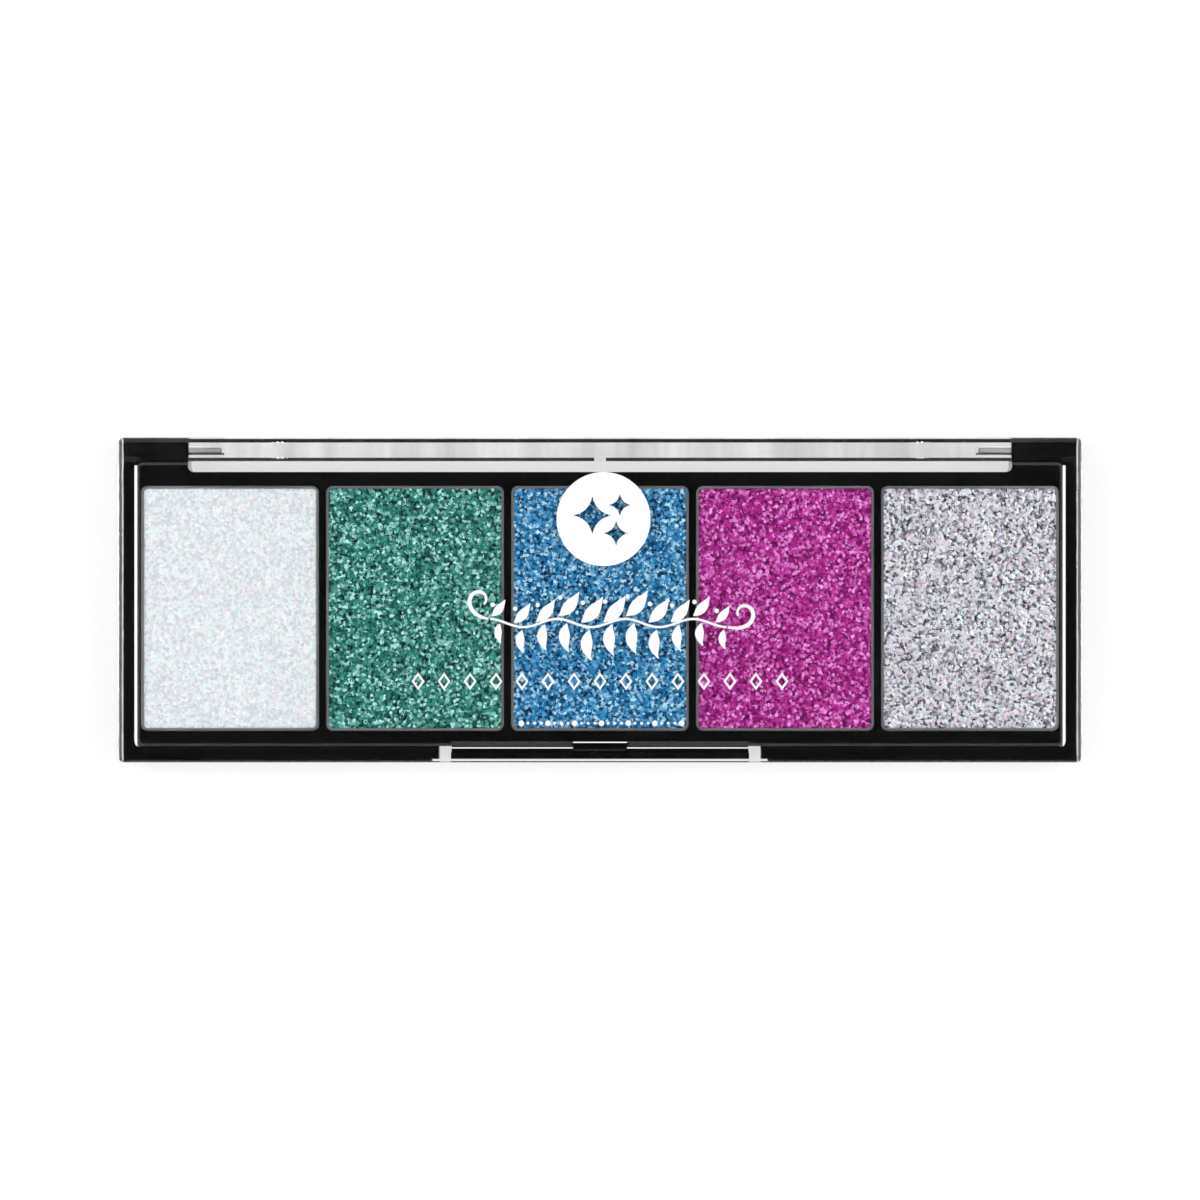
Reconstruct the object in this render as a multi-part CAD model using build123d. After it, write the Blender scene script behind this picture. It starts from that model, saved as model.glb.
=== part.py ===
from build123d import *
import os

# A shut five-well eyeshadow palette: a black moulded tray, a clear lid on two hinge pins, and a
# metal pan of pressed glitter glued into each well.
# Millimetres. The origin is under the middle of the tray, +X runs along the row of wells,
# +Y points to the hinge and +Z up.

# ---------------------------------------------------------------- overall sizes
palette_length = 130.0
palette_depth = 43.75
palette_height = 8.0
corner_round = 1.0          # upright outer corners of the tray and the lid

# ---------------------------------------------------------------- clear lid
lid_plate = 1.5
lid_side_wall = 2.2
lid_front_wall = 1.85
lid_side_round = 0.9        # outer top edge, left and right
lid_front_round = 0.2       # outer top edge, front and rear
lid_inner_chamfer = 0.4     # inside, where the plate meets the side walls
lid_front_gusset = 0.16     # the same over the tongue and behind the hook
lid_seam = 0.1              # gap from the lid's walls down to the tray's ledge
lid_clearance = 0.3         # gap from the lid's walls in to the raised island
lid_headroom = 0.4          # gap from the island's top up to the lid's plate

# ---------------------------------------------------------------- black tray
ledge_height = 4.2          # rim that the lid's walls close on
foot_chamfer = 0.4
island_corner_round = 0.8
island_edge_chamfer = 0.38
end_wall = 0.5              # island beyond the first and the last well
rib_between_wells = 0.84
front_margin = 2.0          # island in front of the wells
rear_margin = 1.8           # island between the wells and the hinge notch
well_corner_round = 1.0
tray_floor = 1.6            # plastic left under the wells
recess_inset = 1.0          # recess under the tray, inside the outline of the wells
recess_corner_round = 2.0

# ---------------------------------------------------------------- hinge
hinge_inset = 1.65          # axis in front of the rear face
hinge_height = 3.4
ear_length = 9.4            # along X, at each end of the tray
ear_height = 5.2
ear_edge_round = 0.8        # top edges that the lid's side wall swings past: front
ear_rear_round = 0.65       # and rear
notch_behind_island = 1.3   # how much deeper the notch is than the ears
notch_corner_round = 0.8
knuckle_end_gap = 0.15      # knuckle to ear, at each end
knuckle_front = 1.5         # knuckle in front of the axis
knuckle_below = 1.65        # knuckle under the axis
knuckle_chamfer = 0.55      # lower edges, front and rear
pin_diameter = 1.2
pin_length = 13.4
pin_sunk = 0.4              # outer end of the pin, inside the ear's face
pin_chamfer = 0.15
pin_running_gap = 0.05      # radial, in the knuckle
pin_end_gap = 0.4           # bore beyond the pin's inner end
lid_wall_to_ear = 0.42      # side wall of the lid to the ear, so that it swings clear

# ---------------------------------------------------------------- front catch
relief_length = 45.4        # shallow step for a fingernail, under the lid's front edge
relief_depth = 0.4
tongue_length = 40.3        # springy strip of the ledge that holds the hook
tongue_thickness = 0.9
tongue_slot = 1.6           # slot right through the ledge at each end of the strip
groove_floor = 1.2          # plastic under the groove behind the strip
island_lead_in = 0.65       # larger chamfer on the island behind the strip
hook_length = 7.3
hook_thickness = 1.0
hook_depth = 2.0            # hook below the lid's front wall
hook_gap = 0.2              # hook to the island and to the sides of its recess
hook_to_tongue = 0.3
bead_round = 0.25           # radius of the snap beads
bead_proud = 0.12           # how far each bead stands out
bead_drop = 0.75            # tongue's bead below the ledge
nub_rise = 0.45             # hook's bead above the hook's end

# ---------------------------------------------------------------- pans, glitter, glue and label
pan_clearance = 0.1
pan_height = 3.0
pan_wall = 0.3
pan_foot_round = 0.5
pan_below_island = 0.1      # pan's rim below the island's top
cake_clearance = 0.02
cake_below_rim = 0.2
glue_thickness = 0.15
glue_diameter = 14.0
label_thickness = 0.1
label_inset = 2.5           # label inside the recess
label_corner_round = 1.5

# ---------------------------------------------------------------- marks that moulding leaves on the lid
ejector_diameter = 4.2      # on the lower face of the walls
ejector_depth = 0.12
side_ejector_y = -14.0
front_ejector_x = 28.0
knuckle_mark_diameter = 2.0
knuckle_mark_depth = 0.08
knuckle_mark_x = 43.4
gate_width = 1.6            # stub of the gate, left in the knuckle's front chamfer

shades = ["white", "green", "blue", "magenta", "silver"]

# ---------------------------------------------------------------- places that follow from the sizes
right = palette_length / 2
rear = palette_depth / 2
front = -rear

plate_underside = palette_height - lid_plate
wall_foot = ledge_height + lid_seam
island_top = plate_underside - lid_headroom
pan_top = island_top - pan_below_island
pan_foot = pan_top - pan_height
well_floor = pan_foot - glue_thickness
recess_depth = well_floor - tray_floor

island_right = right - lid_side_wall - lid_clearance
island_front = front + lid_front_wall + lid_clearance
island_rear = rear - 2 * hinge_inset
notch_right = right - ear_length
notch_face = island_rear - notch_behind_island

wells_right = island_right - end_wall
wells_front = island_front + front_margin
wells_rear = notch_face - rear_margin
well_length = (2 * wells_right - rib_between_wells * (len(shades) - 1)) / len(shades)
well_depth = wells_rear - wells_front
wells_middle = (wells_front + wells_rear) / 2
well_pitch = well_length + rib_between_wells
well_places = {shade: (i - (len(shades) - 1) / 2) * well_pitch for i, shade in enumerate(shades)}

hinge_y = rear - hinge_inset
wall_rear = island_rear - lid_wall_to_ear
knuckle_right = notch_right - knuckle_end_gap
knuckle_face = hinge_y - knuckle_front
knuckle_foot = hinge_height - knuckle_below
pin_outer = right - pin_sunk
pin_inner = pin_outer - pin_length
bore_end = pin_inner - pin_end_gap

relief_face = front + relief_depth
tongue_back = relief_face + tongue_thickness
hook_outer = tongue_back + hook_to_tongue
hook_inner = hook_outer + hook_thickness
hook_foot = wall_foot - hook_depth

beyond = 1.0                # how far a cut runs past the face that it opens


def block(x0, x1, y0, y1, z0, z1):
    """A box between two corners."""
    size = Box(x1 - x0, y1 - y0, z1 - z0)
    return Pos((x0 + x1) / 2, (y0 + y1) / 2, (z0 + z1) / 2) * size


def rounded_block(x0, x1, y0, y1, z0, z1, radius):
    """A box with its four upright edges rounded."""
    plan = Pos((x0 + x1) / 2, (y0 + y1) / 2) * RectangleRounded(x1 - x0, y1 - y0, radius)
    return Pos(0, 0, z0) * extrude(plan, z1 - z0)


def rod(x0, x1, y, z, radius):
    """A cylinder along X."""
    return Pos((x0 + x1) / 2, y, z) * Rot(0, 90, 0) * Cylinder(radius, abs(x1 - x0))


def mirrored(shape):
    """The shape and its mirror image across the middle of the palette."""
    return [shape, mirror(shape, Plane.YZ)]


def edges_at(solid, z):
    """The edges that lie flat at one height."""
    return solid.edges().filter_by(lambda e: abs(e.bounding_box().min.Z - z) < 1e-5
                                   and abs(e.bounding_box().max.Z - z) < 1e-5)


def hinge_notch():
    """The plan of the opening at the rear, in which the lid's knuckle turns."""
    depth = rear - notch_face
    return Pos(0, rear) * RectangleRounded(2 * notch_right, 2 * depth, notch_corner_round)


def tray_foot():
    """The lower half of the tray, up to the ledge."""
    plan = RectangleRounded(palette_length, palette_depth, corner_round) - hinge_notch()
    foot = extrude(plan, ledge_height)
    return chamfer(edges_at(foot, 0), foot_chamfer)


def island():
    """The raised middle of the tray, which the wells are sunk in."""
    plan = Pos(0, (island_front + island_rear) / 2) * RectangleRounded(
        2 * island_right, island_rear - island_front, island_corner_round)
    raised = extrude(plan, island_top)
    raised = chamfer(edges_at(raised, island_top), island_edge_chamfer)
    return raised - extrude(hinge_notch(), island_top)


def ear():
    """The right hinge ear, without its bore. It is rounded so that the lid's side wall swings past."""
    outer = block(island_right, right, island_rear, rear, foot_chamfer, ear_height)
    outer = fillet(edges_at(outer, ear_height).filter_by(Axis.X).sort_by(Axis.Y)[0], ear_edge_round)
    inner = block(notch_right, island_right, island_rear, rear, foot_chamfer, ear_height)
    whole = block(notch_right, right, island_rear, rear, foot_chamfer, ear_height)
    whole = fillet(edges_at(whole, ear_height).filter_by(Axis.X).sort_by(Axis.Y)[-1], ear_rear_round)
    plan = RectangleRounded(palette_length, palette_depth, corner_round)
    return (outer + inner) & whole & extrude(plan, ear_height)


def catch_cuts():
    """What is cut from the tray at the front: relief, slots, groove, hook recess and lead-in."""
    half_tongue = tongue_length / 2
    half_recess = hook_length / 2 + hook_gap
    relief = block(-relief_length / 2, relief_length / 2, front - beyond, relief_face,
                   -beyond, ledge_height + beyond)
    slot = block(half_tongue, half_tongue + tongue_slot, front - beyond, island_front,
                 -beyond, ledge_height + beyond)
    groove = block(-half_tongue, half_tongue, tongue_back, island_front,
                   groove_floor, ledge_height + beyond)
    recess = block(-half_recess, half_recess, island_front - hook_gap, hook_inner + hook_gap,
                   groove_floor, island_top + beyond)
    edge = Plane.YZ * Polygon((island_front, island_top), (island_front, island_top - island_lead_in),
                              (island_front + island_lead_in, island_top), align=None)
    lead_in = extrude(edge, half_tongue, both=True)
    return [relief, groove, recess, lead_in] + mirrored(slot)


def make_tray():
    """Black tray, moulded in one piece."""
    tray = tray_foot() + island()
    for side in mirrored(ear()):
        tray += side
    for x in well_places.values():
        tray -= rounded_block(x - well_length / 2, x + well_length / 2, wells_front, wells_rear,
                              well_floor, island_top + beyond, well_corner_round)
    tray -= rounded_block(-wells_right + recess_inset, wells_right - recess_inset,
                          wells_front + recess_inset, wells_rear - recess_inset,
                          -beyond, recess_depth, recess_corner_round)
    for cut in catch_cuts():
        tray -= cut
    for bore in mirrored(rod(notch_right - beyond, right + beyond, hinge_y, hinge_height,
                             pin_diameter / 2)):
        tray -= bore
    bead_half = hook_length / 2
    return tray + rod(-bead_half, bead_half, tongue_back + bead_proud - bead_round,
                      ledge_height - bead_drop, bead_round)


def lid_knuckle():
    """The bar under the lid's rear edge that holds the pin bores."""
    bar = block(-knuckle_right, knuckle_right, knuckle_face, rear, knuckle_foot, plate_underside)
    bar = chamfer(edges_at(bar, knuckle_foot).filter_by(Axis.X), knuckle_chamfer)
    bar += block(-gate_width / 2, gate_width / 2, knuckle_face, knuckle_face + knuckle_chamfer,
                 knuckle_foot, knuckle_foot + knuckle_chamfer)
    bore_radius = pin_diameter / 2 + pin_running_gap
    for bore in mirrored(rod(bore_end, notch_right, hinge_y, hinge_height, bore_radius)):
        bar -= bore
    mark = Pos(knuckle_mark_x, (knuckle_face + rear) / 2, knuckle_foot) * Cylinder(
        knuckle_mark_diameter / 2, 2 * knuckle_mark_depth)
    for dimple in mirrored(mark):
        bar -= dimple
    return bar


def lid_hook():
    """The catch that drops behind the tongue, with its snap bead."""
    half = hook_length / 2
    hook = block(-half, half, hook_outer, hook_inner, hook_foot, plate_underside)
    return hook + rod(-half, half, hook_outer - bead_proud + bead_round,
                      hook_foot + nub_rise, bead_round)


def gusset(wall, half_length):
    """A small web under the lid's plate, along a wall whose inner face is at y."""
    web = Plane.YZ * Polygon((wall, plate_underside), (wall, plate_underside - lid_front_gusset),
                             (wall + lid_front_gusset, plate_underside), align=None)
    return extrude(web, half_length, both=True)


def make_lid():
    """Clear lid, moulded in one piece with its knuckle and its hook."""
    shell = rounded_block(-right, right, front, rear, wall_foot, palette_height, corner_round)
    for axis, radius in ((Axis.Y, lid_side_round), (Axis.X, lid_front_round)):
        outside = block(-right, right, front, rear, wall_foot, palette_height)
        shell &= fillet(edges_at(outside, palette_height).filter_by(axis), radius)
    inside_right = right - lid_side_wall
    inside_round = island_corner_round + lid_clearance
    cavity_rear = rear + beyond + inside_round
    cavity = block(-inside_right, inside_right, front, cavity_rear, wall_foot - beyond, plate_underside)
    cavity = chamfer(edges_at(cavity, plate_underside).filter_by(Axis.Y), lid_inner_chamfer)
    shell -= cavity & rounded_block(-inside_right, inside_right, front + lid_front_wall, cavity_rear,
                                    wall_foot - beyond, plate_underside, inside_round)
    shell -= block(-right - beyond, right + beyond, wall_rear, rear + beyond,
                   wall_foot - beyond, plate_underside)
    side_mark = Pos(right, side_ejector_y, wall_foot)
    front_mark = Pos(front_ejector_x, front, wall_foot)
    for place in (side_mark, front_mark):
        for dimple in mirrored(place * Cylinder(ejector_diameter / 2, 2 * ejector_depth)):
            shell -= dimple
    gussets = gusset(front + lid_front_wall, tongue_length / 2) + gusset(hook_inner, hook_length / 2)
    return shell + gussets + lid_knuckle() + lid_hook()


def make_pin():
    """Right hinge pin, pressed into its ear."""
    pin = rod(pin_inner, pin_outer, hinge_y, hinge_height, pin_diameter / 2)
    return chamfer(pin.edges().filter_by(GeomType.CIRCLE), pin_chamfer)


def pan_plan(x, inset, z0, z1):
    """A block with the plan of the pan in the well at x, drawn in by inset."""
    return rounded_block(x - well_length / 2 + inset, x + well_length / 2 - inset,
                         wells_front + inset, wells_rear - inset, z0, z1,
                         well_corner_round - inset)


def make_pan(x):
    """Stamped metal pan."""
    body = pan_plan(x, pan_clearance, pan_foot, pan_top)
    body = fillet(edges_at(body, pan_foot), pan_foot_round)
    return body - pan_plan(x, pan_clearance + pan_wall, pan_foot + pan_wall, pan_top + beyond)


def make_cake(x):
    """Glitter, pressed into its pan."""
    inset = pan_clearance + pan_wall + cake_clearance
    return pan_plan(x, inset, pan_foot + pan_wall, pan_top - cake_below_rim)


def make_glue_pad(x):
    """Spot of hot-melt glue between the pan and the floor of its well."""
    return Pos(x, wells_middle, well_floor + glue_thickness / 2) * Cylinder(
        glue_diameter / 2, glue_thickness)


def make_label():
    """Paper label stuck in the recess under the tray."""
    inset = recess_inset + label_inset
    return rounded_block(-wells_right + inset, wells_right - inset, wells_front + inset,
                         wells_rear - inset, recess_depth - label_thickness, recess_depth,
                         label_corner_round)


right_pin = make_pin()
parts = {
    "base_tray": make_tray(),
    "lid": make_lid(),
    "hinge_pin_right": right_pin,
    "hinge_pin_left": mirror(right_pin, Plane.YZ),
    "base_label": make_label(),
}
for shade, place in well_places.items():
    parts["pan_" + shade] = make_pan(place)
    parts["glitter_" + shade] = make_cake(place)
    parts["glue_pad_" + shade] = make_glue_pad(place)

os.makedirs("parts", exist_ok=True)
for name, shape in parts.items():
    export_step(shape, "parts/" + name + ".step")
    print(name, len(shape.solids()), "solid,", round(shape.volume, 2), "mm3")
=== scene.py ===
# %% [markdown]
# # A glitter eyeshadow palette under a clear lid
# The palette is a slim black tray with five metal pans of pressed glitter, shut under a clear
# moulded lid. The tray, lid, pans, pins, glue and label arrive as solids with their real sizes.
# This file gives them their finishes, makes the sparkling top of each cake of glitter and the
# white ink on the lid, and lights them the way a catalogue would.

# %% The frame that everything is placed in
import math

import bmesh
import bpy
import numpy as np
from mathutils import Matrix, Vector


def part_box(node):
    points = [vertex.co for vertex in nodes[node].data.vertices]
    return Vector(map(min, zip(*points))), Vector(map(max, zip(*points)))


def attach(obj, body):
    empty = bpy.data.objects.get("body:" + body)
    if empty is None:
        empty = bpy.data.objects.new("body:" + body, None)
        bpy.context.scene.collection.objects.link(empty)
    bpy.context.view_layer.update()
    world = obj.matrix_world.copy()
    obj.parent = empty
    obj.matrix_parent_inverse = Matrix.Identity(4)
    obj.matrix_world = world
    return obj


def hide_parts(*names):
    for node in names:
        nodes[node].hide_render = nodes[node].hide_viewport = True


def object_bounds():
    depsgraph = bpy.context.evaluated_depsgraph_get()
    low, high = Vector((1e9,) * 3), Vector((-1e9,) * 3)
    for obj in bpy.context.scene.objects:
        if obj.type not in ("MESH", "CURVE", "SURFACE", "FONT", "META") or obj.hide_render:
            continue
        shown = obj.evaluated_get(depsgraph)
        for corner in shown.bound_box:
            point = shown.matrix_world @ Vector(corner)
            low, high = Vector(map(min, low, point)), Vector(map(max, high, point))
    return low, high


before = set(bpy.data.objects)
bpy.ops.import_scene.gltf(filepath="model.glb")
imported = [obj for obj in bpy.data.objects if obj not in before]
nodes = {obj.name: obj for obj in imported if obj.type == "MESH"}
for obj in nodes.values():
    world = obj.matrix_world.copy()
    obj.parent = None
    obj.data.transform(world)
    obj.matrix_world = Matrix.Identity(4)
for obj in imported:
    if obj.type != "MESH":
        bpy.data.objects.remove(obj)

MM = 0.001
cad_low, cad_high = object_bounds()
shades = ["white", "green", "blue", "magenta", "silver"]
print("palette, mm:", [round(side / MM, 2) for side in cad_high - cad_low])

# %% [markdown]
# ## Writing a finish as an expression
# A finish is a graph of shader nodes. Boxes and wires are quick to try by hand, but hard to read
# back, so here a socket is wrapped in a small class whose arithmetic adds the Math nodes. Then a
# mask can be written as `1 - dust * 0.3`, and the graph builds itself.


# %% A socket that can be used in a sum
class Flow:
    """An output socket. Arithmetic on it adds Math nodes to the same tree."""

    def __init__(self, tree, socket):
        self.tree = tree
        self.socket = socket

    def math(self, operation, *values):
        node = self.tree.nodes.new("ShaderNodeMath")
        node.operation = operation
        for place, value in zip(node.inputs, values):
            plug(self.tree, place, value)
        return Flow(self.tree, node.outputs[0])

    def __add__(self, other):
        return self.math("ADD", self, other)

    def __radd__(self, other):
        return self.math("ADD", other, self)

    def __sub__(self, other):
        return self.math("SUBTRACT", self, other)

    def __rsub__(self, other):
        return self.math("SUBTRACT", other, self)

    def __mul__(self, other):
        return self.math("MULTIPLY", self, other)

    def __rmul__(self, other):
        return self.math("MULTIPLY", other, self)


def plug(tree, place, value):
    """Links a Flow into an input, or sets the input to a plain value."""
    if isinstance(value, Flow):
        tree.links.new(value.socket, place)
    elif isinstance(value, (tuple, list)) and len(value) == 3 and place.type == "RGBA":
        place.default_value = (*value, 1)
    else:
        place.default_value = value


class Graph:
    """A node tree, to which nodes are added one call at a time."""

    def __init__(self, tree):
        self.tree = tree
        tree.nodes.clear()

    def node(self, kind, settings=None, sockets=None, output=0):
        """Adds a node. Settings come first, then the values or links of its sockets."""
        node = self.tree.nodes.new("ShaderNode" + kind)
        for name, value in (settings or {}).items():
            if name == "stops":
                fill_ramp(node.color_ramp, value)
            else:
                setattr(node, name, value)
        for name, value in (sockets or {}).items():
            plug(self.tree, node.inputs[name], value)
        return Flow(self.tree, node.outputs[output])


def fill_ramp(ramp, stops):
    """Sets a colour ramp to a list of (position, (red, green, blue))."""
    while len(ramp.elements) < len(stops):
        ramp.elements.new(0.5)
    for element, (position, colour) in zip(ramp.elements, stops):
        element.position = position
        element.color = (*colour, 1)


def from_screen(red, green, blue):
    """A colour as it is named on screen, 0 to 255, turned into light."""
    def light(value):
        value = value / 255
        return value / 12.92 if value <= 0.04045 else ((value + 0.055) / 1.055) ** 2.4
    return light(red), light(green), light(blue)


class Finish(Graph):
    """A material with one Principled shader, which holds the even values on its own sockets."""

    def __init__(self, name, **even):
        self.material = bpy.data.materials.new(name)
        self.material.use_nodes = True
        super().__init__(self.material.node_tree)
        self.shader = self.tree.nodes.new("ShaderNodeBsdfPrincipled")
        out = self.tree.nodes.new("ShaderNodeOutputMaterial")
        self.tree.links.new(self.shader.outputs[0], out.inputs["Surface"])
        for socket, value in even.items():
            self.set(socket.replace("_", " "), value)

    def set(self, socket, value):
        plug(self.tree, self.shader.inputs[socket], value)

    def place(self):
        """Where a point lies on the object, in metres."""
        return self.node("TexCoord", output=3)

    def noise(self, per_mm, detail=2, roughness=0.5):
        """Soft noise with so many lumps to the millimetre, from 0 to 1."""
        return self.node("TexNoise", None, {"Vector": self.place(), "Scale": per_mm / MM,
                                            "Detail": detail, "Roughness": roughness})

    def bump(self, height, depth_mm, strength=1.0):
        """A normal from a height of 0 to 1 that stands for so many millimetres."""
        return self.node("Bump", None, {"Height": height, "Distance": depth_mm * MM,
                                        "Strength": strength})

    def blend(self, amount, first, second):
        """One colour at 0 and the other at 1."""
        return self.node("Mix", {"data_type": "RGBA"}, {"Factor": amount, 6: first, 7: second},
                         output=2)

    def wear(self, *names):
        """Puts this finish on CAD nodes."""
        for name in names:
            nodes[name].data.materials.clear()
            nodes[name].data.materials.append(self.material)
        print(self.material.name, "on", ", ".join(names))


# %% [markdown]
# ## Camera
# The palette is seen from straight above with its catch at the foot of the picture. A long lens
# high above it keeps the edges square, yet leaves enough perspective for the camera to look a
# little into the clear walls at the left and right, where they catch a bright line.

# %% The camera
camera_height = 700 * MM
view_width = 161.6 * MM

camera = bpy.data.objects.new("camera", bpy.data.cameras.new("camera"))
bpy.context.scene.collection.objects.link(camera)
bpy.context.scene.camera = camera
camera.location = (0, 0, cad_high.z + camera_height)
camera.data.sensor_width = 36
camera.data.lens = camera.data.sensor_width * camera_height / view_width
camera.data.clip_start = 0.01
print("lens:", round(camera.data.lens, 1), "mm")

# %% [markdown]
# ## Light and floor
# Glossy black and clear plastic show whatever is above them, so a studio surrounds such an
# object with white and leaves a dark hole for the lens. The sky does the same here: dim at the
# horizon in front and behind, brighter to the left and right and higher up, and dark straight
# overhead, which keeps the black deep under the lid. An even white sky would be simpler, but
# the edges of the clear lid would vanish in it. The palette lies on a light table, because only
# light from below makes the clear hinge bar glow. The table is only just brighter than white,
# so that the open lid still shows against it. Plain sRGB keeps white white.

# %% The dome of light
bpy.context.scene.view_settings.view_transform = "Standard"
world = bpy.data.worlds.new("light_dome")
bpy.context.scene.world = world
world.use_nodes = True
dome = Graph(world.node_tree)
direction = dome.node("TexCoord")
across = dome.node("SeparateXYZ", None, {"Vector": direction})
upward = dome.node("SeparateXYZ", None, {"Vector": direction}, output=2)
past_the_lens = dome.node("MapRange", {"interpolation_type": "SMOOTHSTEP"},
                          {"Value": upward, "From Min": 0.955, "From Max": 0.985,
                           "To Min": 1.0, "To Max": 0.0})
above_the_horizon = dome.node("MapRange", {"interpolation_type": "SMOOTHSTEP"},
                              {"Value": upward, "From Min": 0.05, "From Max": 0.50})
sides = across * across
light = 0.58 + sides * 0.80 + above_the_horizon * 0.52
in_the_hole = 0.015
sky = dome.node("Background", None,
                {"Color": (1, 1, 1), "Strength": light * past_the_lens + in_the_hole})
dome_out = dome.tree.nodes.new("ShaderNodeOutputWorld")
dome.tree.links.new(sky.socket, dome_out.inputs["Surface"])
print("dome of light:", len(dome.tree.nodes), "nodes")

# %% Two soft boxes
box_size = (0.24, 0.30)


def soft_box(name, place, power):
    """An area lamp that faces the middle of the palette."""
    lamp = bpy.data.lights.new(name, "AREA")
    lamp.shape = "RECTANGLE"
    lamp.size, lamp.size_y = box_size
    lamp.energy = power
    holder = bpy.data.objects.new(name, lamp)
    holder.location = place
    holder.rotation_euler = Vector(place).to_track_quat("Z", "Y").to_euler()
    bpy.context.scene.collection.objects.link(holder)
    print(name, power, "W")


soft_box("box_left", (-0.42, 0.06, 0.62), 2.9)
soft_box("box_right", (0.42, 0.06, 0.62), 2.7)

# %% The light table
table_size = 3.0
table_gap = 0.05 * MM
table = bpy.data.objects.new("light_table", bpy.data.meshes.new("light_table"))
half = table_size / 2
table.data.from_pydata([(-half, -half, 0), (half, -half, 0), (half, half, 0), (-half, half, 0)],
                       [], [(0, 1, 2, 3)])
bpy.context.scene.collection.objects.link(table)
opal = Finish("opal_table", Roughness=0.9, Specular_IOR_Level=0.1,
              Emission_Color=(1, 1, 1, 1), Emission_Strength=0.72)
opal.set("Base Color", opal.blend(opal.noise(0.02), (0.17, 0.17, 0.17), (0.20, 0.20, 0.20)))
table.data.materials.append(opal.material)
table.location.z = -table_gap
print("light table:", table_size, "m wide")

# %% [markdown]
# ## Black tray
# The tray is polished ABS. It could be a flat black, but a moulding always has a faint orange
# peel and a haze that comes and goes, and those are what make it read as plastic when light
# grazes it. Both are noise: a long soft one in the roughness and a shallow one in the bump.

# %% Black plastic
black = Finish("black_plastic", IOR=1.53)
haze = black.noise(0.12, detail=4)
peel = black.noise(0.9, detail=2)
black.set("Base Color", black.blend(haze, from_screen(4, 4, 5), from_screen(8, 8, 9)))
black.set("Roughness", 0.10 + haze * 0.10)
black.set("Normal", black.bump(peel, 0.0012, 0.5))
black.wear("base_tray")

# %% [markdown]
# ## Pans, pins, glue and label
# The pans are stamped from aluminium sheet: rolling leaves fine parallel lines, drawn here by
# stretching noise along one axis. The pins are drawn wire, with lines along their length.

# %% Rolled and drawn metal
def metal(name, colour, stretch):
    """Metal with fine lines. The axis with the smallest stretch runs along them."""
    finish = Finish(name, Metallic=1.0)
    darker = tuple(part * 0.82 for part in colour)
    lines = finish.node("VectorMath", {"operation": "MULTIPLY"},
                        {0: finish.place(), 1: stretch})
    grain = finish.node("TexNoise", None, {"Vector": lines, "Scale": 6 / MM, "Detail": 3})
    dull = finish.noise(0.5)
    finish.set("Base Color", finish.blend(dull, darker, colour))
    finish.set("Roughness", 0.26 + grain * 0.18)
    finish.set("Normal", finish.bump(grain, 0.003, 0.4))
    return finish


metal("pan_metal", (0.30, 0.30, 0.31), (0.05, 1, 1)).wear(*["pan_" + shade for shade in shades])
metal("pin_steel", (0.56, 0.56, 0.57), (0.03, 1, 1)).wear("hinge_pin_left", "hinge_pin_right")

# %% Hot-melt glue and label paper
glue = Finish("hot_melt", Roughness=0.35, Subsurface_Weight=0.2, Subsurface_Scale=MM)
glue_lumps = glue.noise(0.6)
glue.set("Base Color", glue.blend(glue_lumps, (0.66, 0.62, 0.50), (0.80, 0.77, 0.66)))
glue.set("Normal", glue.bump(glue_lumps, 0.05))
glue.wear(*["glue_pad_" + shade for shade in shades])

paper = Finish("label_paper", Roughness=0.7)
fibres = paper.noise(3, detail=5, roughness=0.65)
paper.set("Base Color", paper.blend(fibres, (0.74, 0.74, 0.72), (0.86, 0.86, 0.85)))
paper.set("Normal", paper.bump(fibres, 0.01, 0.5))
paper.wear("base_label")

# %% [markdown]
# ## Pressed glitter
# Glitter is film cut into tiny hexagons, pressed flat but never quite level, so each flake
# mirrors a different part of the room. Thousands of loose hexagons would be the honest way, but
# a heap of separate plates is heavy and hard to unwrap. Noise in the normals is light, but looks
# like noise. In between lies a relief: a fine sheet is laid over the cake, every flake is stamped
# on it, and where two overlap the upper one wins. That gives real tilted facets with crisp edges
# in one closed mesh. Each flake also gets by chance a level of painted light, from painted shade
# to painted glint, and a tint, which the finish reads.

# %% Stamping the flakes
flake_radius = 0.27 * MM
flake_spacing = 0.32 * MM
relief_depth = 0.10 * MM
sheet_step = 0.13 * MM
flat_to_corner = 0.87           # a hexagon's half width across flats, over its radius


def hexagon_reach(along, up, spin):
    """How far a point is from the middle of a hexagon, measured square to its nearest side."""
    far = np.zeros(np.broadcast(along, up).shape)
    for side in range(3):
        turn = spin + side * math.pi / 3
        far = np.maximum(far, abs(along * math.cos(turn) + up * math.sin(turn)))
    return far


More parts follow.
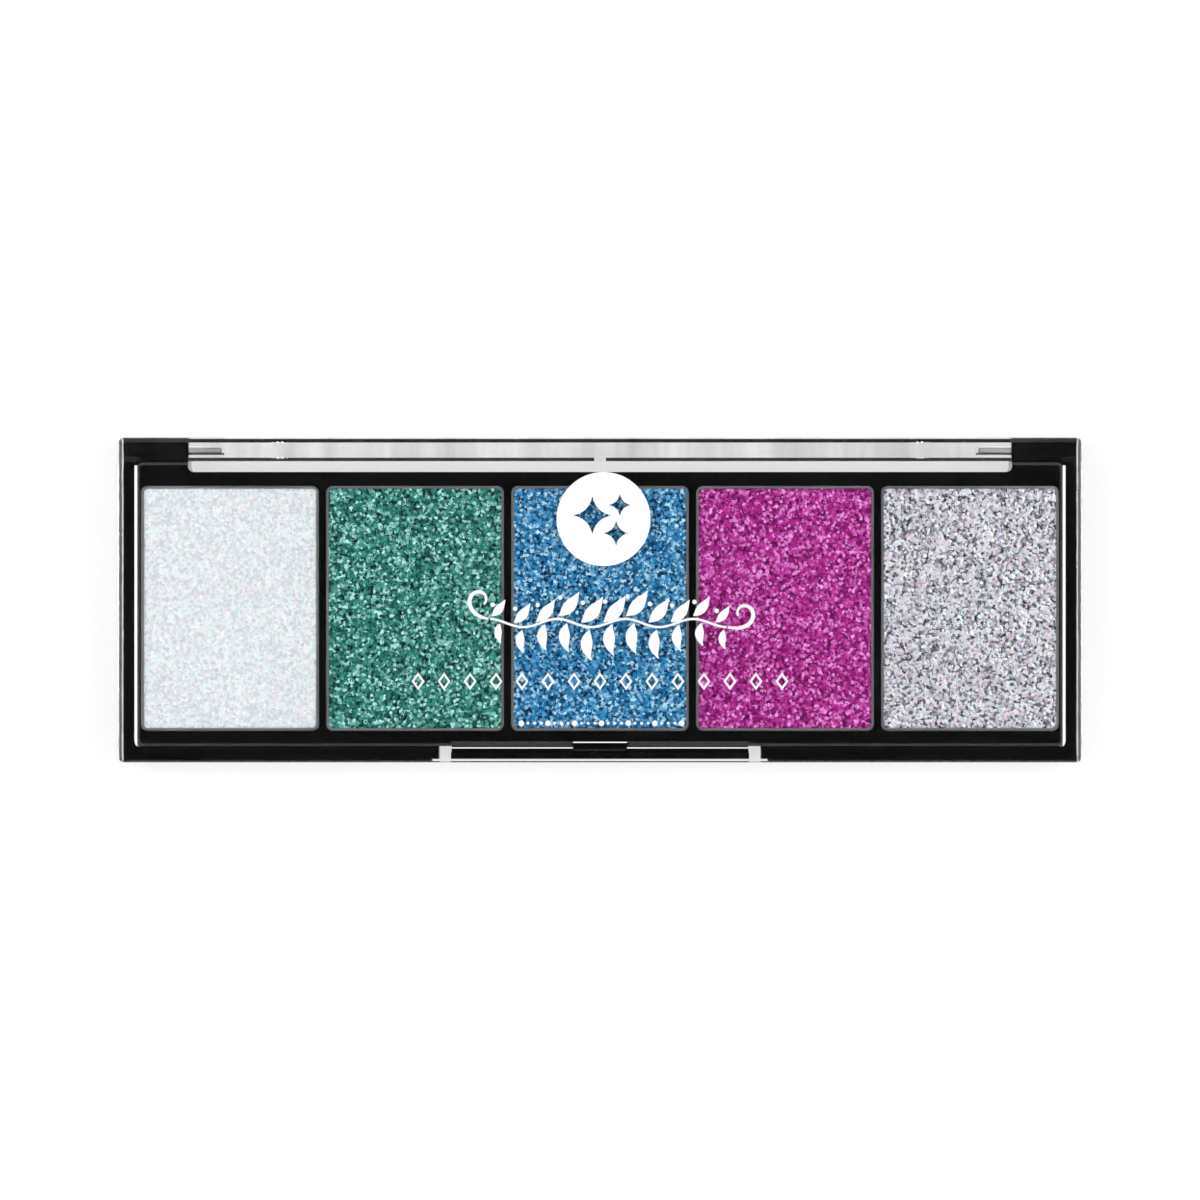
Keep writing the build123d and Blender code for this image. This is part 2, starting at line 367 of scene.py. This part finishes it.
def stamp_flakes(x, y, tilt, random):
    """The height of the topmost flake at each point of a grid, and that flake's number."""
    height = np.full((len(y), len(x)), -1.0)
    owner = np.zeros((len(y), len(x)), int)
    columns = int((x[-1] - x[0]) / flake_spacing) + 2
    rows = int((y[-1] - y[0]) / flake_spacing) + 2
    reach = int(flake_radius * 1.2 / sheet_step) + 1
    number = 0
    for place in random.permutation(columns * rows):
        number += 1
        row, column = divmod(place, columns)
        centre_x = x[0] + (column + random.uniform(-0.5, 0.5)) * flake_spacing
        centre_y = y[0] + (row + random.uniform(-0.5, 0.5)) * flake_spacing
        slope_x, slope_y = random.normal(0, tilt / 2, 2).clip(-tilt, tilt)
        level = random.uniform(0.25, 0.75) * relief_depth
        radius = flake_radius * random.uniform(0.75, 1.15)
        spin = random.uniform(0, math.pi / 3)
        middle_c = int((centre_x - x[0]) / sheet_step)
        middle_r = int((centre_y - y[0]) / sheet_step)
        patch = (slice(max(middle_r - reach, 0), middle_r + reach + 2),
                 slice(max(middle_c - reach, 0), middle_c + reach + 2))
        along = x[patch[1]][None, :] - centre_x
        up = y[patch[0]][:, None] - centre_y
        own = level + slope_x * along + slope_y * up
        inside = hexagon_reach(along, up, spin) < radius * flat_to_corner
        wins = inside & (own > height[patch])
        height[patch] = np.where(wins, own, height[patch])
        owner[patch] = np.where(wins, number, owner[patch])
    height = np.where(height < 0, 0.1 * relief_depth, height)
    return height.clip(0, relief_depth), owner


print("flakes:", round(2 * flake_radius / MM, 2), "mm across, one each",
      round(flake_spacing / MM, 2), "mm")

# %% [markdown]
# The relief becomes a closed block: the sheet on top, a wall all round its rim, and one face
# underneath. A block cut with rounded corners would break the grid, so the grid's own corners
# are drawn in to the round instead, which keeps the whole top in quads.

# %% Rounding the corners of the sheet
cake_corner = 0.6 * MM


def round_corners(grid_x, grid_y, low, high):
    """Draws the corners of a square grid in, so that it fills a rounded rectangle."""
    middle_x, middle_y = (low.x + high.x) / 2, (low.y + high.y) / 2
    inner_x, inner_y = (high.x - low.x) / 2 - cake_corner, (high.y - low.y) / 2 - cake_corner
    side_x, side_y = grid_x - middle_x, grid_y - middle_y
    out_x = (abs(side_x) - inner_x).clip(0) / cake_corner
    out_y = (abs(side_y) - inner_y).clip(0) / cake_corner
    squeeze_x = np.sqrt(1 - out_y ** 2 / 2) * out_x
    squeeze_y = np.sqrt(1 - out_x ** 2 / 2) * out_y
    new_x = np.where(out_x > 0, np.sign(side_x) * (inner_x + cake_corner * squeeze_x), side_x)
    new_y = np.where(out_y > 0, np.sign(side_y) * (inner_y + cake_corner * squeeze_y), side_y)
    return middle_x + new_x, middle_y + new_y


print("cake corners:", round(cake_corner / MM, 2), "mm")


# %% The cake as one closed mesh
# The cake's walls get one fixed level of painted light, a little into the painted shade below the
# body colour.
wall_painted_light = 0.4


def cake_mesh(name, low, high, tilt, seed):
    """A block of pressed glitter with a relief of flakes on top, and each face's painted light and
    tint.
    """
    random = np.random.RandomState(seed)
    columns = round((high.x - low.x) / sheet_step)
    rows = round((high.y - low.y) / sheet_step)
    x = np.linspace(low.x, high.x, columns + 1)
    y = np.linspace(low.y, high.y, rows + 1)
    height, owner = stamp_flakes(x, y, tilt, random)
    grid_x, grid_y = np.meshgrid(x, y)
    grid_x, grid_y = round_corners(grid_x, grid_y, low, high)
    top = np.column_stack([grid_x.ravel(), grid_y.ravel(),
                           (high.z - relief_depth + height).ravel()])
    index = np.arange(len(top)).reshape(rows + 1, columns + 1)
    quads = np.stack([index[:-1, :-1], index[:-1, 1:], index[1:, 1:], index[1:, :-1]], -1)
    quads = quads.reshape(-1, 4)
    rim = np.concatenate([index[0, :-1], index[:-1, -1], index[-1, :0:-1], index[:0:-1, 0]])
    foot = top[rim].copy()
    foot[:, 2] = low.z
    under = len(top) + np.arange(len(rim))
    walls = np.stack([rim, under, np.roll(under, -1), np.roll(rim, -1)], -1)
    mesh = bpy.data.meshes.new(name)
    mesh.from_pydata(np.vstack([top, foot]).tolist(), [],
                     quads.tolist() + walls.tolist() + [under[::-1].tolist()])
    flakes = owner.max() + 1
    face_owner = owner[:-1, :-1].ravel()
    for layer in ("tone", "tint"):
        by_flake = random.uniform(0, 1, flakes)
        by_flake[0] = 0
        values = np.concatenate([by_flake[face_owner], np.full(len(walls) + 1, wall_painted_light)])
        mesh.attributes.new(layer, "FLOAT", "FACE").data.foreach_set("value", values)
    mesh.shade_smooth()
    print(name, flakes - 1, "flakes")
    return mesh


# %% [markdown]
# ## The colours of each shade
# A shade of glitter isn't painted as one colour. Flakes picked by chance are painted deep, a
# painted shade for flakes that would face away. Most are in the middle, and a few are painted
# nearly white, a painted glint for flakes that would catch a lamp. A ramp of many stops could be
# tuned one stop at a time, but three colours say the same and are easy to change: the painted
# shade, the body of the shade, and the painted glint. The stops between them are mixed as light.
# The film is iridescent as well, most of all in silver and white, which shifts each flake a
# little towards pink, green or blue, so a second ramp is laid over the first.

# %% Three colours to a shade: painted shade, body colour, painted glint
# For each shade: a painted shade, the glitter's own body colour, and a painted glint.
shaded_body_glint_colours = {
    "white": ((214, 218, 224), (239, 244, 246), (254, 255, 255)),
    "green": ((0, 24, 20), (50, 142, 130), (195, 255, 248)),
    "blue": ((0, 22, 64), (48, 145, 205), (205, 248, 255)),
    "magenta": ((90, 0, 66), (195, 45, 156), (255, 165, 245)),
    "silver": ((58, 56, 66), (230, 224, 234), (255, 255, 255)),
}
body_tone = 0.55
stops_each_side = 3


def mix_light(amount, first, second):
    """One light at 0 and the other at 1."""
    return tuple(a + (b - a) * amount for a, b in zip(first, second))


def shade_to_glint_ramp(painted_shade, body, painted_glint):
    """Stops from a flake's painted shade, through the body of the shade, to its painted glint."""
    stops = []
    for step in range(stops_each_side):
        t = step / stops_each_side
        stops.append((body_tone * t, mix_light(t, painted_shade, body)))
    for step in range(stops_each_side + 1):
        t = step / stops_each_side
        stops.append((body_tone + (1 - body_tone) * t, mix_light(t * t, body, painted_glint)))
    return stops


# %% Glitter finishes
flake_tilt = {"white": 0.16, "green": 0.30, "blue": 0.30, "magenta": 0.28, "silver": 0.28}
metal_share = {"white": 0.05, "green": 0.30, "blue": 0.30, "magenta": 0.25, "silver": 0.25}
film_tints = [(1.0, 0.62, 0.78), (0.82, 0.80, 0.84), (0.62, 1.0, 0.90), (0.84, 0.84, 0.80),
              (0.66, 0.80, 1.0), (1.0, 0.92, 0.66)]
film_strength = {"white": 0.34, "green": 0.18, "blue": 0.18, "magenta": 0.20, "silver": 0.50}


def glitter_finish(shade):
    """Film flakes: part metal, with a colour from the flake's painted light, between painted shade
    and painted glint, and its tint.
    """
    finish = Finish("glitter_" + shade, Metallic=metal_share[shade], Roughness=0.30,
                    Specular_IOR_Level=0.15)
    tone = finish.node("Attribute", {"attribute_name": "tone"}, output=2)
    tint = finish.node("Attribute", {"attribute_name": "tint"}, output=2)
    painted_shade, body, painted_glint = [from_screen(*colour) for colour in shaded_body_glint_colours[shade]]
    own = finish.node("ValToRGB", {"stops": shade_to_glint_ramp(painted_shade, body, painted_glint)}, {"Fac": tone})
    places = [step / (len(film_tints) - 1) for step in range(len(film_tints))]
    film = finish.node("ValToRGB", {"stops": list(zip(places, film_tints))}, {"Fac": tint})
    shifted = finish.node("Mix", {"data_type": "RGBA", "blend_type": "MULTIPLY"},
                          {"Factor": film_strength[shade], 6: own, 7: film}, output=2)
    finish.set("Base Color", shifted)
    return finish


for seed, shade in enumerate(shades):
    low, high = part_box("glitter_" + shade)
    cake = bpy.data.objects.new("pressed_" + shade, cake_mesh("pressed_" + shade, low, high,
                                                                flake_tilt[shade], seed))
    bpy.context.scene.collection.objects.link(cake)
    cake.data.materials.append(glitter_finish(shade).material)
    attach(cake, "base")
    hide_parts("glitter_" + shade)
    print(cake.name, len(cake.data.polygons), "faces")

# %% [markdown]
# ## Clear lid
# The lid is one clear moulding. An even see-through film would be simpler, but it would lose
# what makes clear plastic look clear: bright and dark lines where light bends in the walls and
# in the hinge bar. So the lid is real glass-like plastic with its own index of refraction, and
# the geometry does the rest. Melt that cooled while it flowed leaves the faces very slightly
# wavy, which a wide shallow bump adds. In the thick hinge bar a stretched noise tints the plastic
# grey in soft bands. These bands are partly flow clouds in the moulding and partly painted shade
# that darkens the light coming through the bar. The bar is a little frosted too. The thin plate
# is left nearly clear.

# %% Clear plastic
clear = Finish("clear_plastic", Transmission_Weight=1.0, IOR=1.55)
streaks = clear.node("VectorMath", {"operation": "MULTIPLY"},
                     {0: clear.place(), 1: (1, 0.12, 0.3)})
flow = clear.node("TexNoise", None, {"Vector": streaks, "Scale": 0.16 / MM, "Detail": 3,
                                     "Roughness": 0.6})
bar_depth = 3.275 * MM
bar_front = cad_high.y - bar_depth
edge_blur = 0.3 * MM
backward = clear.node("SeparateXYZ", None, {"Vector": clear.place()}, output=1)
in_the_bar = clear.node("MapRange", None, {"Value": backward, "From Min": bar_front,
                                           "From Max": bar_front + edge_blur})
frosting = 0.05
# Grey bands in the bar: partly flow clouds, partly painted shade that dims the light through it.
clouds_and_painted_shade = clear.node("MapRange", None, {"Value": flow, "From Min": 0.38, "From Max": 0.60})
bar_tint_and_painted_shade = clear.blend(clouds_and_painted_shade, (0.72, 0.725, 0.73), (0.98, 0.98, 0.98))
clear.set("Base Color", clear.blend(in_the_bar, (0.985, 0.987, 0.99), bar_tint_and_painted_shade))
clear.set("Roughness", 0.004 + flow * 0.012 + in_the_bar * frosting)
clear.set("Normal", clear.bump(clear.noise(0.11, detail=1), 0.02, 0.4))
clear.wear("lid")

# %% [markdown]
# ## Ink on the lid
# The lid is pad printed in white: a round badge at the top, a bold flourish across the middle,
# a row of small diamonds and a fine line of dots under it. An image could hold a print, but
# thin solids keep their edges sharp at any distance. Each is drawn as flat closed outlines,
# where an outline inside another makes a hole, then given the thickness of a coat of ink and
# set just inside the lid's face.

# %% Flat outlines turned into ink
ink_thickness = 0.02 * MM
ink_depth = 0.03 * MM

ink = Finish("lid_ink", Roughness=0.55)
ink_grain = ink.noise(4, detail=3)
ink.set("Base Color", ink.blend(ink_grain, (0.96, 0.96, 0.96), (0.99, 0.99, 0.99)))
ink.set("Normal", ink.bump(ink_grain, 0.002, 0.5))


def print_ink(name, outlines):
    """Prints closed outlines, given in millimetres, as one piece of ink on the lid."""
    flat = bpy.data.curves.new(name, "CURVE")
    flat.dimensions = "2D"
    flat.fill_mode = "BOTH"
    flat.extrude = ink_thickness / 2
    for outline in outlines:
        spline = flat.splines.new("POLY")
        spline.points.add(len(outline) - 1)
        for point, (x, y) in zip(spline.points, outline):
            point.co = (x * MM, y * MM, 0, 1)
        spline.use_cyclic_u = True
    drawn = bpy.data.objects.new(name, flat)
    mesh = bpy.data.meshes.new_from_object(drawn)
    bpy.data.objects.remove(drawn)
    shape = bmesh.new()
    shape.from_mesh(mesh)
    bmesh.ops.remove_doubles(shape, verts=shape.verts, dist=0.0005 * MM)
    bmesh.ops.translate(shape, verts=shape.verts, vec=(0, 0, cad_high.z - ink_depth))
    shape.to_mesh(mesh)
    shape.free()
    mesh.materials.clear()
    mesh.materials.append(ink.material)
    piece = bpy.data.objects.new(name, mesh)
    bpy.context.scene.collection.objects.link(piece)
    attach(piece, "lid")
    print(name, len(outlines), "outlines,", len(mesh.polygons), "faces")


def ring_of_points(x, y, radius, count=64):
    """A circle."""
    turns = [math.tau * step / count for step in range(count)]
    return [(x + radius * math.cos(turn), y + radius * math.sin(turn)) for turn in turns]


def sparkle(x, y, reach, waist=0.16, steps=6):
    """A star of four long points, whose sides curve in."""
    outline = []
    for quarter in range(4):
        tip = (math.cos(math.pi / 2 * quarter), math.sin(math.pi / 2 * quarter))
        after = (math.cos(math.pi / 2 * (quarter + 1)), math.sin(math.pi / 2 * (quarter + 1)))
        middle = (waist * (tip[0] + after[0]), waist * (tip[1] + after[1]))
        for step in range(steps):
            t = step / steps
            bent = [(1 - t) ** 2 * a + 2 * t * (1 - t) * m + t ** 2 * b
                    for a, m, b in zip(tip, middle, after)]
            outline.append((x + reach * bent[0], y + reach * bent[1]))
    return outline


# %% The badge, with three sparkles left clear
badge_x, badge_y, badge_radius = 0.47, 10.9, 6.33
print_ink("print_badge", [ring_of_points(badge_x, badge_y, badge_radius, 96),
                          sparkle(badge_x - 1.5, badge_y + 0.5, 2.6),
                          sparkle(badge_x + 2.2, badge_y + 1.9, 1.5),
                          sparkle(badge_x + 1.7, badge_y - 1.9, 1.7)])

# %% [markdown]
# The flourish is a vine as a broad pen would draw it: a thin wavy stem, and leaves that all lean
# the same way, thin where the pen sets off and wide in the middle of the stroke. Each stroke
# follows a curve whose bend grows steadily, which is the curve of a scroll.

# %% The flourish
vine_left, vine_right, vine_y = -17.2, 19.4, -3.1


def pen_stroke(start, heading, length, bend, curl, widest, thinnest=0.12, steps=40):
    """The outline of one swelling stroke. Angles are in degrees over the whole stroke."""
    x, y = start
    left, right = [], []
    for step in range(steps + 1):
        t = step / steps
        turn = math.radians(heading + bend * t + curl * t * t)
        width = thinnest / 2 + (widest - thinnest) / 2 * math.sin(math.pi * t ** 0.85) ** 1.3
        left.append((x - width * math.sin(turn), y + width * math.cos(turn)))
        right.append((x + width * math.sin(turn), y - width * math.cos(turn)))
        x += length / steps * math.cos(turn)
        y += length / steps * math.sin(turn)
    return left + right[::-1]


def stem_height(x):
    """The wavy line that the leaves grow from."""
    return vine_y + 0.55 * math.sin(math.tau * (x - vine_left) / 9.15)


scroll_room = 2.4               # left at each end of the stem for its scroll
half_stem = 0.16
leaf_gap = 0.42                 # stem to the foot of a leaf
leaves = 11
stem_x = np.linspace(vine_left + scroll_room, vine_right - scroll_room, 90)
flourish = [[(x, stem_height(x) + half_stem) for x in stem_x]
            + [(x, stem_height(x) - half_stem) for x in stem_x[::-1]]]
for leaf in range(leaves):
    t = leaf / (leaves - 1)
    x = vine_left + 2.6 + t * (vine_right - vine_left - 6.4)
    size = 0.62 + 0.38 * math.sin(math.pi * t)
    flourish.append(pen_stroke((x, stem_height(x) + leaf_gap), 34, 4.6 * size, 44, -18,
                               1.75 * size))
    flourish.append(pen_stroke((x + 1.1, stem_height(x + 1.1) - leaf_gap), -112, 4.3 * size, 46, 10,
                               1.6 * size))
    flourish.append(ring_of_points(x + 0.2 * size, stem_height(x) + 3.1 * size, 0.30, 20))
scroll_length = 8.2
for end, inward, heading, bend in ((vine_left, 1, 168, -60), (vine_right, -1, -12, 60)):
    foot = (end + 2.2 * inward, stem_height(end + scroll_room * inward))
    curl = -260 if inward > 0 else 260
    flourish.append(pen_stroke(foot, heading, scroll_length, bend, curl, 0.55, 0.3))
print_ink("print_flourish", flourish)

# %% [markdown]
# Under the flourish comes a row of open diamonds, each a large outline with a smaller one as its
# hole, and below it a fine line of dots, every fourth one larger. Both are evenly spaced, so two
# loops draw them.

# %% The row of diamonds and the line of dots
diamond_reach, diamond_hole = 1.2, 0.74


def diamond(x, y, reach):
    """A narrow diamond."""
    return [(x + 0.72 * reach, y), (x, y + reach), (x - 0.72 * reach, y), (x, y - reach)]


row_y = -10.95
row_half_width = 24.5
row_count = 15
places = [row_half_width * (2 * step / (row_count - 1) - 1) for step in range(row_count)]
diamonds = []
for x in places:
    diamonds += [diamond(x, row_y, diamond_reach), diamond(x, row_y, diamond_hole)]
print_ink("print_diamonds", diamonds)

dots_left, dots_y, dot_pitch, dot_count = -10.6, -16.6, 0.9, 25
dots = []
for step in range(dot_count):
    radius = 0.2 if step % 4 else 0.38
    dots.append(ring_of_points(dots_left + dot_pitch * step, dots_y, radius, 16))
print_ink("print_dots", dots)
